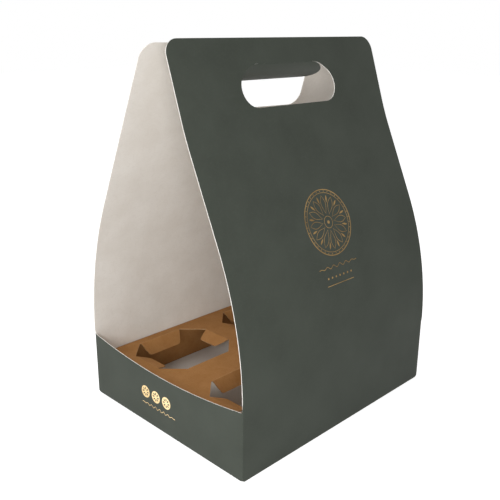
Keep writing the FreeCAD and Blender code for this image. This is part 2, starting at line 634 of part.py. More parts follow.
def cup_hole(body):
    """One cup hole with its four tabs, repeated to both sides and both ends."""
    above = plane_sketch(body, "hole_outline", "XY_Plane", ("0", "0", "Sizes.tray_height"))
    centre_x = "-Sizes.hole_pitch_long / 2"
    centre_y = "-Sizes.hole_pitch_cross / 2"
    long = "Sizes.hole_length / 2"
    cross = "Sizes.hole_width / 2"
    cut = "Sizes.hole_corner"
    corners = []
    for step_x, step_y in ((1, 1), (-1, 1), (-1, -1), (1, -1)):
        on_end = (f"{centre_x} + {step_x} * {long}", f"{centre_y} + {step_y} * ({cross} - {cut})")
        on_side = (f"{centre_x} + {step_x} * ({long} - {cut})", f"{centre_y} + {step_y} * {cross}")
        corners += [on_end, on_side] if step_x * step_y > 0 else [on_side, on_end]
    polygon(above, corners)
    features = [pocket(body, above, "2 * Sizes.tray_board", "cup_hole")]
    tabs = (
        ("end_tab", (1, 0), "Sizes.end_tab_angle"),
        ("middle_tab", (-1, 0), "Sizes.end_tab_angle"),
        ("side_tab", (0, 1), "Sizes.side_tab_angle"),
        ("inner_tab", (0, -1), "Sizes.side_tab_angle"),
    )
    for name, (step_x, step_y), angle in tabs:
        sketch = tab_plane(body, f"{name}_outline", (step_x, step_y), angle)
        edge = cross if step_x else long
        wide = f"({edge} - {cut} - Sizes.tab_relief)"
        narrow = f"({edge} - {cut} - Sizes.tab_relief - Sizes.tab_taper)"
        reach = "Sizes.tab_length"
        outline = [("0", f"-{wide}"), (reach, f"-{narrow}"), (reach, narrow), ("0", wide)]
        if step_y:
            outline = [(width, length) for length, width in outline]
        sense = step_x or step_y
        if sense < 0:
            outline = [(f"-({across})" if step_x else across, f"-({up})" if step_y else up)
                       for across, up in outline]
        polygon(sketch, outline)
        features.append(pad(body, sketch, "Sizes.tray_board", name, reverse=True))
    all_holes = body.newObject("PartDesign::MultiTransform", "all_holes")
    all_holes.Originals = features
    mirrors = []
    for name, role in (("both_ends", "YZ_Plane"), ("both_sides", "XZ_Plane")):
        mirror = body.newObject("PartDesign::Mirrored", name)
        plane = next(item for item in body.Origin.OriginFeatures if item.Role == role)
        mirror.MirrorPlane = (plane, [""])
        mirrors.append(mirror)
    all_holes.Transformations = mirrors
    body.Tip = all_holes
    doc.recompute()


def check_and_write(nodes):
    """Stops at any failed feature or unsound solid, and then writes every piece."""
    doc.recompute()
    for item in doc.Objects:
        if "Invalid" in item.State or "Error" in item.State:
            raise ValueError(f"{item.Name} failed: {item.State}")
    for node in nodes:
        shape = node.Shape
        if shape.isNull() or not shape.isValid() or shape.Volume <= 0:
            raise ValueError(f"{node.Name} has no sound shape")
        print(node.Name, "solids", len(shape.Solids), "volume", round(shape.Volume), shape.BoundBox)
    os.makedirs("parts", exist_ok=True)
    for node in nodes:
        node.Shape.exportStep(os.path.join("parts", f"{node.Label}.step"))


check_and_write([carrier(), tray()])
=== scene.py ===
import math

import bmesh
import bpy
import numpy as np
from mathutils import Matrix, Vector
from mathutils.geometry import delaunay_2d_cdt


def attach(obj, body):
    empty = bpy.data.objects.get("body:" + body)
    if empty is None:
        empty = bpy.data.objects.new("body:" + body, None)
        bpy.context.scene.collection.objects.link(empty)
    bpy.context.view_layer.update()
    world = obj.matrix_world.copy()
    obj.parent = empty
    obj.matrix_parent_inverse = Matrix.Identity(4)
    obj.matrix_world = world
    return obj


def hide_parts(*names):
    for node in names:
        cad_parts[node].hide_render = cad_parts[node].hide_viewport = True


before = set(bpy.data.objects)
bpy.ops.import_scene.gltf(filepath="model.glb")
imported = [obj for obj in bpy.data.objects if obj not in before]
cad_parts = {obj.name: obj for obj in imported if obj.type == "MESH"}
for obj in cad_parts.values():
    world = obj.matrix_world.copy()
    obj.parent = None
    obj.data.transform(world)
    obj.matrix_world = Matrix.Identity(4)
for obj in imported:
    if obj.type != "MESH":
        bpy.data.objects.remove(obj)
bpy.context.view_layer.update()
print("frame loaded:", sorted(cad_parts))

# lengths are in metres and angles in degrees all through


# small helpers for node trees and pieces

def feed(tree, socket, value):  # a link from another socket, a plain value, or a colour of three numbers
    if isinstance(value, bpy.types.NodeSocket):
        tree.links.new(value, socket)
    else:
        socket.default_value = (*value, 1) if socket.type == "RGBA" else value


def addNode(tree, kind, values=None, **settings):
    node = tree.nodes.new(kind)
    for name, setting in settings.items():
        setattr(node, name, setting)
    for name, value in (values or {}).items():
        feed(tree, node.inputs[name], value)
    return node


def firstOut(tree, kind, values=None, **settings):  # a new node's first output
    return addNode(tree, kind, values, **settings).outputs[0]


def maths(tree, operation, *terms, clamp=False):
    return firstOut(tree, "ShaderNodeMath", dict(enumerate(terms)), operation=operation, use_clamp=clamp)


def remap(tree, value, source, target=(0.0, 1.0)):
    ends = zip(("From Min", "From Max", "To Min", "To Max"), (*source, *target))
    return firstOut(tree, "ShaderNodeMapRange", {"Value": value, **dict(ends)})


def noise(tree, place, scale, detail, roughness=0.5):
    return firstOut(tree, "ShaderNodeTexNoise", {"Vector": place, "Scale": scale, "Detail": detail,
                                                 "Roughness": roughness})


def splitXyz(tree, vector):
    return addNode(tree, "ShaderNodeSeparateXYZ", {"Vector": vector}).outputs


def joinXyz(tree, x, y, z):
    return firstOut(tree, "ShaderNodeCombineXYZ", {"X": x, "Y": y, "Z": z})


def mixColours(tree, share, first, second):
    mix = addNode(tree, "ShaderNodeMix", {"Factor": share, "A": first, "B": second}, data_type="RGBA")
    return mix.outputs["Result"]


def newTree(name, kind, inputs, outputs):
    tree = bpy.data.node_groups.new(name, kind)
    for label, sort, *default in inputs:
        socket = tree.interface.new_socket(label, in_out="INPUT", socket_type="NodeSocket" + sort)
        if default:
            socket.default_value = default[0]
    for label, sort in outputs:
        tree.interface.new_socket(label, in_out="OUTPUT", socket_type="NodeSocket" + sort)
    return tree, tree.nodes.new("NodeGroupInput").outputs, tree.nodes.new("NodeGroupOutput").inputs


def newShapeTree(name, inputs):  # Geometry Nodes with a shape in and a shape out
    shape = [("Geometry", "Geometry")]
    return newTree(name, "GeometryNodeTree", shape + inputs, shape)


def addTree(piece, tree, values):  # a Geometry Nodes modifier, its inputs set by identifier
    modifier = piece.modifiers.new(tree.name, "NODES")
    modifier.node_group = tree
    for item in tree.interface.items_tree:
        if item.item_type == "SOCKET" and item.in_out == "INPUT" and item.name in values:
            modifier[item.identifier] = values[item.name]


def makePlain(piece):  # turns what the modifiers give into the piece's own mesh
    graph = bpy.context.evaluated_depsgraph_get()
    made = bpy.data.meshes.new_from_object(piece.evaluated_get(graph), preserve_all_data_layers=True,
                                           depsgraph=graph)
    piece.modifiers.clear()
    piece.data = made
    made.name = piece.name


def newPiece(name, mesh):
    piece = bpy.data.objects.new(name, mesh)
    bpy.context.scene.collection.objects.link(piece)
    return piece


# materials

cardGrainLook = {
    "turns": (24, 101, 158),  # three lays of fibres, each at its own angle
    "cloudDetail": 4.0, "cloudRoughness": 0.55, "fibreDetail": 2.0, "fibreRoughness": 0.6,
    "fineScale": 2600.0, "fineDetail": 2.0, "fibreHeight": 0.6, "fineHeight": 0.4,
}
edgeScuffAndHighlightLook = {"detail": 5.0, "roughness": 0.7, "middle": 0.5}


def buildGrain():  # what all the cards share: clouding, fibres and the height of both
    tree, given, wanted = newTree(
        "cardGrain", "ShaderNodeTree",
        [("Vector", "Vector"), ("Cloud Scale", "Float", 55.0), ("Fibre Scale", "Float", 420.0),
         ("Fibre Stretch", "Float", 5.0)],
        [("Cloud", "Float"), ("Fibre", "Float"), ("Height", "Float")])
    look, place = cardGrainLook, given["Vector"]
    cloud = noise(tree, place, given["Cloud Scale"], look["cloudDetail"], look["cloudRoughness"])
    fibre = None
    for turn in look["turns"]:
        laid = firstOut(tree, "ShaderNodeVectorRotate", {"Vector": place, "Angle": math.radians(turn)},
                        rotation_type="Z_AXIS")
        x, y, z = splitXyz(tree, laid)
        drawn = joinXyz(tree, maths(tree, "DIVIDE", x, given["Fibre Stretch"]), y, z)
        lay = noise(tree, drawn, given["Fibre Scale"], look["fibreDetail"], look["fibreRoughness"])
        fibre = maths(tree, "MAXIMUM", fibre, lay) if fibre else lay
    fine = noise(tree, place, look["fineScale"], look["fineDetail"])
    height = maths(tree, "ADD", maths(tree, "MULTIPLY", fibre, look["fibreHeight"]),
                   maths(tree, "MULTIPLY", fine, look["fineHeight"]))
    for source, socket in zip((cloud, fibre, height), wanted):
        tree.links.new(source, socket)
    return tree


def buildScuffAndHighlight():  # broken wear along cut edges and creases, which along the printed card's folds is also a painted highlight
    tree, given, wanted = newTree(
        "edgeScuff", "ShaderNodeTree",
        [("Vector", "Vector"), ("Wear", "Float", 0.0), ("Reach", "Float", 0.1),
         ("Patch Scale", "Float", 240.0), ("Contrast", "Float", 2.5)], [("Mask", "Float")])
    look = edgeScuffAndHighlightLook
    patches = noise(tree, given["Vector"], given["Patch Scale"], look["detail"], look["roughness"])
    level = maths(tree, "SUBTRACT", maths(tree, "ADD", given["Wear"], given["Reach"]), 1.0)
    broken = maths(tree, "ADD", level, maths(tree, "SUBTRACT", patches, look["middle"]))
    strong = maths(tree, "MULTIPLY", broken, given["Contrast"], clamp=True)
    tree.links.new(maths(tree, "MULTIPLY", strong, given["Wear"]), wanted["Mask"])
    return tree


cardGrain = buildGrain()
edgeScuff = buildScuffAndHighlight()

# the part of a noise's range that each effect uses
noiseSpan = {"cloud": (0.35, 0.65), "fibre": (0.56, 0.76), "gloss": (0.5, 0.75), "foil": (0.0, 1.0)}
relief = {"card": 0.0001, "foil": 0.00005}  # how high the grain stands where a bump is at full strength


def newMaterial(name):
    material = bpy.data.materials.new(name)
    material.use_nodes = True
    tree = material.node_tree
    return material, tree, tree.nodes["Principled BSDF"].inputs


def setSurface(tree, shader, colour, gloss, height, bump, distance):
    raised = firstOut(tree, "ShaderNodeBump", {"Height": height, "Strength": bump, "Distance": distance})
    for name, source in (("Base Color", colour), ("Roughness", gloss), ("Normal", raised)):
        tree.links.new(source, shader[name])


def cardMaterial(name, look):
    material, tree, shader = newMaterial(name)
    flat = firstOut(tree, "ShaderNodeUVMap", uv_map="flat")
    values = {"Vector": flat, **dict(zip(("Cloud Scale", "Fibre Scale", "Fibre Stretch"), look["grain"]))}
    cloud, fibre, height = addNode(tree, "ShaderNodeGroup", values, node_tree=cardGrain).outputs
    colour = mixColours(tree, remap(tree, cloud, noiseSpan["cloud"]), look["dark"], look["light"])
    strands = remap(tree, fibre, noiseSpan["fibre"], (0.0, look["fibreShow"]))
    colour = mixColours(tree, strands, colour, look["fibre"])
    # the lighter scuff marks are wear along cut edges and, along the folds, partly a painted highlight
    if "scuffAndHighlight" in look:
        wear = addNode(tree, "ShaderNodeAttribute", attribute_name="wear").outputs["Fac"]
        mask = firstOut(tree, "ShaderNodeGroup", {"Vector": flat, "Wear": wear, "Reach": look["scuffAndHighlightReach"]},
                        node_tree=edgeScuff)
        colour = mixColours(tree, mask, colour, look["scuffAndHighlight"])
    shader["Specular IOR Level"].default_value = look["specular"]
    gloss = remap(tree, fibre, noiseSpan["gloss"], look["roughness"])
    setSurface(tree, shader, colour, gloss, height, look["bump"], relief["card"])
    return material


cutLook = {"roughness": (0.85, 0.95), "specular": 0.2, "grain": (300.0, 1500.0, 6.0)}
looks = {  # grain is the scale of the clouds, and the fibres' scale and stretch
    "printedCard": {
        "dark": (0.050, 0.0570, 0.0465), "light": (0.059, 0.067, 0.055), "fibre": (0.073, 0.081, 0.068),
        "fibreShow": 0.3, "roughness": (0.48, 0.58), "specular": 0.06, "bump": 0.10,
        # the scuff colour is lighter wear at the cut edges and a painted highlight along the folds
        "scuffAndHighlight": (0.20, 0.205, 0.19), "scuffAndHighlightReach": 0.05, "grain": (24.0, 620.0, 4.0),
    },
    "plainCard": {
        "dark": (0.71, 0.670, 0.615), "light": (0.76, 0.725, 0.675), "fibre": (0.64, 0.595, 0.53),
        "fibreShow": 0.35, "roughness": (0.78, 0.9), "specular": 0.3, "bump": 0.22,
        "grain": (40.0, 620.0, 4.0),
    },
    "cutEdge": {
        "dark": (0.74, 0.715, 0.67), "light": (0.82, 0.80, 0.76), "fibre": (0.58, 0.555, 0.51),
        "fibreShow": 0.4, "bump": 0.4, **cutLook,
    },
    "kraftCard": {
        "dark": (0.325, 0.152, 0.048), "light": (0.370, 0.180, 0.062), "fibre": (0.25, 0.112, 0.037),
        "fibreShow": 0.45, "roughness": (0.76, 0.88), "specular": 0.18, "bump": 0.28,
        "scuffAndHighlight": (0.46, 0.28, 0.14), "scuffAndHighlightReach": 0.15, "grain": (70.0, 900.0, 5.0),
    },
    "kraftEdge": {
        "dark": (0.36, 0.20, 0.09), "light": (0.48, 0.30, 0.155), "fibre": (0.24, 0.125, 0.05),
        "fibreShow": 0.6, "bump": 0.5, **cutLook,
    },
}
materials = {name: cardMaterial(name, look) for name, look in looks.items()}

foilLooks = {
    "goldFoil": {"deep": (0.72, 0.50, 0.23), "bright": (0.95, 0.74, 0.42), "roughness": (0.30, 0.45),
                 "bump": 0.12},
    "bronzeFoil": {"deep": (0.22, 0.135, 0.050), "bright": (0.36, 0.235, 0.095), "roughness": (0.30, 0.48),
                   "bump": 0.15},
}


def foilMaterial(name, look):
    material, tree, shader = newMaterial(name)
    place = addNode(tree, "ShaderNodeTexCoord").outputs["Object"]
    cloud, _, height = addNode(tree, "ShaderNodeGroup", {"Vector": place}, node_tree=cardGrain).outputs
    colour = mixColours(tree, remap(tree, cloud, noiseSpan["cloud"]), look["deep"], look["bright"])
    gloss = remap(tree, cloud, noiseSpan["foil"], look["roughness"])
    shader["Metallic"].default_value = 1.0
    setSurface(tree, shader, colour, gloss, height, look["bump"], relief["foil"])
    return material


materials.update({name: foilMaterial(name, look) for name, look in foilLooks.items()})
print("materials made:", sorted(materials))


# cutting a flat card: outlines in its own plane, points along every line, and a mesh of triangles

cutting = {
    "bandClear": 0.7, "stepClear": 0.45,  # how far free points keep off the lines, in bands and steps
    "merge": 1e-8, "newWear": 0.6,  # new wear is for points where lines cross
    "sharpTurn": 35,  # a cut edge's wall is sharp where it turns by more than this
}
foldWearAndHighlight = (0.1, 0.6, 1.0, 0.6, 0.1)  # wear, and on the printed card's folds a painted highlight, on the five lines across a fold
up = Vector((0, 0, 1))


def aimed(angle):  # one step the way an angle in radians points
    return Vector((math.cos(angle), math.sin(angle)))


def leftOf(ahead):
    return Vector((-ahead.y, ahead.x))


def straight(start, end, step):  # even points without the end
    count = max(1, round((Vector(end) - Vector(start)).length / step))
    return [Vector(start).lerp(Vector(end), index / count) for index in range(count)]


def polyline(corners, step):
    sides = [spot for start, end in zip(corners, corners[1:]) for spot in straight(start, end, step)]
    return sides + [Vector(corners[-1])]


def polygon(corners, step):
    return polyline([*corners, corners[0]], step)[:-1]


def arc(centre, radius, first, last, count):  # even points without the last
    spread = [math.radians(first + (last - first) * index / count) for index in range(count)]
    return [Vector(centre) + aimed(angle) * radius for angle in spread]


def allRound(quarter):  # the corners of one quarter, mirrored into the other three in turn
    back = quarter[::-1]
    return [*quarter, *((-x, y) for x, y in back), *((-x, -y) for x, y in quarter),
            *((x, -y) for x, y in back)]


def insideLoops(spots, loops):
    inside = np.zeros(len(spots), bool)
    for loop in loops:
        for (x0, y0), (x1, y1) in zip(loop, loop[1:] + loop[:1]):
            if y0 != y1:
                across = (y0 > spots[:, 1]) != (y1 > spots[:, 1])
                inside ^= across & (spots[:, 0] < x0 + (spots[:, 1] - y0) * (x1 - x0) / (y1 - y0))
    return inside


def clearOf(spots, lines, distance):
    free = np.ones(len(spots), bool)
    for start, end in lines:
        along = np.array(end) - np.array(start)
        share = np.clip(((spots - np.array(start)) @ along) / max(along @ along, 1e-18), 0, 1)
        free &= np.linalg.norm(spots - np.array(start) - share[:, None] * along, axis=1) > distance
    return free


def cutCard(loops, creases, step, band):
    spots, edges, wear = [], [], []

    def addPath(path, worn, closed):
        first = len(spots)
        spots.extend(path)
        wear.extend([worn] * len(path))
        edges.extend((first + index, first + index + 1) for index in range(len(path) - 1))
        if closed:
            edges.append((len(spots) - 1, first))

    for loop in loops:
        addPath(loop, 1.0, True)
    for line, worn in creases:
        addPath(line, worn, False)
    lines = [(spots[a], spots[b]) for a, b in edges]
    inset = []
    for loop in loops:  # a row of points just inside each cut edge, where the wear ends
        for before, spot, after in zip(loop[-1:] + loop[:-1], loop, loop[1:] + loop[:1]):
            aside = leftOf((after - before).normalized()) * band
            inset += [spot + aside, spot - aside]
    inset = np.array([tuple(spot) for spot in inset])
    inset = inset[clearOf(inset, lines, band * cutting["bandClear"]) & insideLoops(inset, loops)]
    drawn = np.array([tuple(spot) for spot in spots])
    low, high = drawn.min(axis=0), drawn.max(axis=0)
    grid = np.array([(x, y) for x in np.arange(low[0] + step / 2, high[0], step)
                     for y in np.arange(low[1] + step / 2, high[1], step)]).reshape(-1, 2)
    grid = grid[insideLoops(grid, loops)]
    grid = grid[clearOf(grid, lines, step * cutting["stepClear"])]
    free = [Vector(spot) for spot in np.vstack([inset, grid]).tolist()]
    flat, _, triangles, origins = delaunay_2d_cdt(spots + free, edges, [], 0, cutting["merge"])[:4]
    middles = np.array([tuple((flat[a] + flat[b] + flat[c]) / 3) for a, b, c in triangles])
    kept = [triangle for triangle, inside in zip(triangles, insideLoops(middles, loops)) if inside]
    turned = [(a, b, c) if (flat[b] - flat[a]).cross(flat[c] - flat[a]) > 0 else (c, b, a)
              for a, b, c in kept]
    wear += [0.0] * len(free)
    worn = [max([wear[index] for index in origin], default=cutting["newWear"]) for origin in origins]
    return flat, turned, worn


def cardPiece(name, cut, place, board, joined=None):
    # place gives a point of the printed face and its outward normal,
    # and joined says which cut edges another card closes
    flat, triangles, worn = cut
    used = sorted({index for triangle in triangles for index in triangle})
    renamed = {index: number for number, index in enumerate(used)}
    count = len(used)
    outer, inner = [], []
    for index in used:
        point, normal = place(flat[index].x, flat[index].y)
        outer.append(point)
        inner.append(point - normal * board)
    faces = [tuple(renamed[index] for index in triangle) for triangle in triangles]
    directed = {(a, b) for tri in faces for a, b in zip(tri, tri[1:] + tri[:1])}
    rims = [(a, b) for a, b in sorted(directed) if (b, a) not in directed]
    if joined:
        rims = [(a, b) for a, b in rims if not (joined(flat[used[a]]) and joined(flat[used[b]]))]
    mesh = bpy.data.meshes.new(name)
    walls = [(a, a + count, b + count, b) for a, b in rims]
    backs = [tuple(index + count for index in reversed(triangle)) for triangle in faces]
    mesh.from_pydata(outer + inner, [], faces + backs + walls)
    skin = mesh.attributes.new("skin", "INT", "FACE")
    skin.data.foreach_set("value", [0] * len(faces) + [1] * len(backs) + [2] * len(walls))
    wear = mesh.attributes.new("wear", "FLOAT", "POINT")
    wear.data.foreach_set("value", [worn[index] for index in used] * 2)
    layer = mesh.uv_layers.new(name="flat")
    for loop in mesh.loops:
        layer.data[loop.index].uv = flat[used[loop.vertex_index % count]]
    markSharp(mesh)
    return newPiece(name, mesh)


def markSharp(mesh):  # the rims stay crisp and everything else is smooth
    work = bmesh.new()
    work.from_mesh(mesh)
    skin = work.faces.layers.int["skin"]
    for face in work.faces:
        face.smooth = True
    for edge in work.edges:
        if len(edge.link_faces) == 2:
            rims = sum(face[skin] == 2 for face in edge.link_faces)
            turned = edge.calc_face_angle(0) > math.radians(cutting["sharpTurn"])
            edge.smooth = not (rims == 1 or (rims == 2 and turned))
    work.to_mesh(mesh)
    work.free()


def joinPieces(name, pieces, gap=None):
    with bpy.context.temp_override(active_object=pieces[0], selected_editable_objects=pieces):
        bpy.ops.object.join()
    whole = pieces[0]
    whole.name = whole.data.name = name
    if gap:
        work = bmesh.new()
        work.from_mesh(whole.data)
        bmesh.ops.remove_doubles(work, verts=work.verts, dist=gap)
        work.to_mesh(whole.data)
        work.free()
        markSharp(whole.data)
    return whole


# carrying a card along a bent path

def profileCurve(name, start, heading, path):
    points = [Vector(start)]
    handles = [[None, None]]
    spot, angle = Vector(start), math.radians(heading)
    for kind, size, *turn in path:
        ahead = aimed(angle)
        if kind == "run":
            end, reach = spot + ahead * size, size / 3
        else:
            sweep = math.radians(turn[0])
            centre = spot + leftOf(ahead) * math.copysign(size, sweep)
            away = spot - centre
            away.rotate(Matrix.Rotation(sweep, 2))
            end, reach = centre + away, 4 / 3 * math.tan(abs(sweep) / 4) * size
            angle += sweep
        handles[-1][1] = spot + ahead * reach
        handles.append([end - aimed(angle) * reach, None])
        points.append(end)
        spot = end
    data = bpy.data.curves.new(name, "CURVE")
    data.dimensions = "3D"
    data.resolution_u = 64
    spline = data.splines.new("BEZIER")
    spline.bezier_points.add(len(points) - 1)
    for knot, point, (left, right) in zip(spline.bezier_points, points, handles):
        knot.handle_left_type = knot.handle_right_type = "FREE"
        knot.co = (0, point.x, point.y)
        knot.handle_left = (0, *(left or point))
        knot.handle_right = (0, *(right or point))
    return newPiece(name, data), spot, math.degrees(angle)


skinLabels = ("Printed Side", "Plain Side", "Cut Edge")
skinSlots = [(label, "Material") for label in skinLabels]
nowhere = 1.0  # a Start above everything, so that followProfile only dresses the card


def skinsOf(*names):
    return {label: materials[name] for label, name in zip(skinLabels, names)}


def dressSkins(tree, source, given, wanted):  # Realize Instances, then a material for each skin of the card
    current = firstOut(tree, "GeometryNodeRealizeInstances", {"Geometry": source})
    skin = addNode(tree, "GeometryNodeInputNamedAttribute", {"Name": "skin"}, data_type="INT")
    for number, label in enumerate(skinLabels):  # a compare node's inputs 2 and 3 are its whole numbers
        chosen = firstOut(tree, "FunctionNodeCompare", {2: skin.outputs["Attribute"], 3: number},
                          data_type="INT", operation="EQUAL")
        current = firstOut(tree, "GeometryNodeSetMaterial", {"Geometry": current, "Selection": chosen,
                                                             "Material": given[label]})
    tree.links.new(current, wanted["Geometry"])


def shapeOf(tree, piece):
    return addNode(tree, "GeometryNodeObjectInfo", {"Object": piece}).outputs["Geometry"]


def buildFollow():
    # what stands straight above Start, on one Side, is carried along the Profile at its own distance
    # from the outer face
    tree, given, wanted = newShapeTree("followProfile", [
        ("Profile", "Object"), ("Side", "Float", 1.0), ("Start", "Float", 0.0), ("Outer Face", "Float", 0.09),
        *skinSlots])
    x, y, z = splitXyz(tree, firstOut(tree, "GeometryNodeInputPosition"))
    length = maths(tree, "SUBTRACT", z, given["Start"])
    sided = maths(tree, "MULTIPLY", y, given["Side"])
    depth = maths(tree, "SUBTRACT", given["Outer Face"], sided)
    chosen = maths(tree, "MULTIPLY", *(maths(tree, "GREATER_THAN", value, 0.0) for value in (length, sided)))
    at = addNode(tree, "GeometryNodeSampleCurve", {"Curves": shapeOf(tree, given["Profile"]),
                                                   "Length": length}, mode="LENGTH").outputs
    _, middleY, middleZ = splitXyz(tree, at["Position"])
    _, aheadY, aheadZ = splitXyz(tree, at["Tangent"])
    inward = maths(tree, "MULTIPLY", depth, given["Side"])
    newY = maths(tree, "SUBTRACT", middleY, maths(tree, "MULTIPLY", inward, aheadZ))
    newZ = maths(tree, "ADD", middleZ, maths(tree, "MULTIPLY", inward, aheadY))
    bent = firstOut(tree, "GeometryNodeSetPosition", {"Geometry": given["Geometry"], "Selection": chosen,
                                                      "Position": joinXyz(tree, x, newY, newZ)})
    dressSkins(tree, bent, given, wanted)
    return tree


followProfile = buildFollow()

# the folded sheet

sheetCard = {
    "length": 0.22492, "width": 0.17992,  # outside, a hair inside the solid so that the foil has room
    "board": 0.0006, "fold": 0.0009, "endHeight": 0.056, "endSag": 0.008, "endCorner": 0.002,
    "topInset": 0.0004,  # how far an end panel's hollow top runs into the folds beside it
    "bendStart": 0.058, "height": 0.312, "topCorner": 0.0115,
    "edgeStart": 0.001,  # how far above the bend's start a tall panel's free edge begins
    "flapHalf": 0.1102, "endFlapHalf": 0.0877, "notch": 0.0004, "seam": 0.0003, "endFlapReach": 0.0923,
    "endFlapTaper": 0.046, "glueWidth": 0.016, "glueCut": 0.004, "glueTop": 0.048,
    "step": 0.0042, "flapStep": 0.003, "band": 0.0008,  # spacing of the points, and width of a worn edge
    "slack": 0.0001, "hair": 0.000001,  # how far past an edge, and past the hinge, still counts as on it
    "front": [("bend", 0.270, -24.2), ("run", 0.0628), ("bend", 0.250, 5.4), ("run", 0.0537)],
    "back": [("bend", 0.270, 25.6), ("run", 0.13347)],
    "frontSpare": 0.0001,  # how far the front path runs on past the panel's top
    "slot": {"drop": 0.019, "height": 0.032, "highEdge": 0.060, "shoulder": 0.022, "lowEdge": 0.076,
             "corner": 0.014},
    "backSlot": {"drop": 0.017, "height": 0.0404, "highEdge": 0.096, "shoulder": 0.015, "lowEdge": 0.112,
                 "corner": 0.0104},
    "flapTurn": 60.8, "flapCurl": 0.041, "cutWidth": 0.0001,
    "flapCreases": {1: 0.8, 2: 1.0, 3: 0.7, 4: 0.2},  # wear on the lines of the flap's fold, by quarters
    "foldTops": (0.0583, 0.0583, 0.0580, 0.0564, 0.0557),  # how high a fold's lines reach
    "bottomWear": (0.0, 0.35, 0.6, 0.35, 0.0),  # of the lines across the bottom's folds
    "creaseGap": 0.0015, "creaseEnd": 0.0004, "lowCreaseEnd": 0.0012, "flapCreaseEnd": 0.0005,  # off the cuts
    "sway": 0.0021, "twist": 0.0336,  # how far the back panel has gone towards the front one
    "swayHeight": 0.204, "swayPower": 1.3,
    "tongue": 0.038, "tongueReach": 0.018, "tongueTaper": 0.006,
    "joinGap": 0.000008,  # points nearer than this become one
}


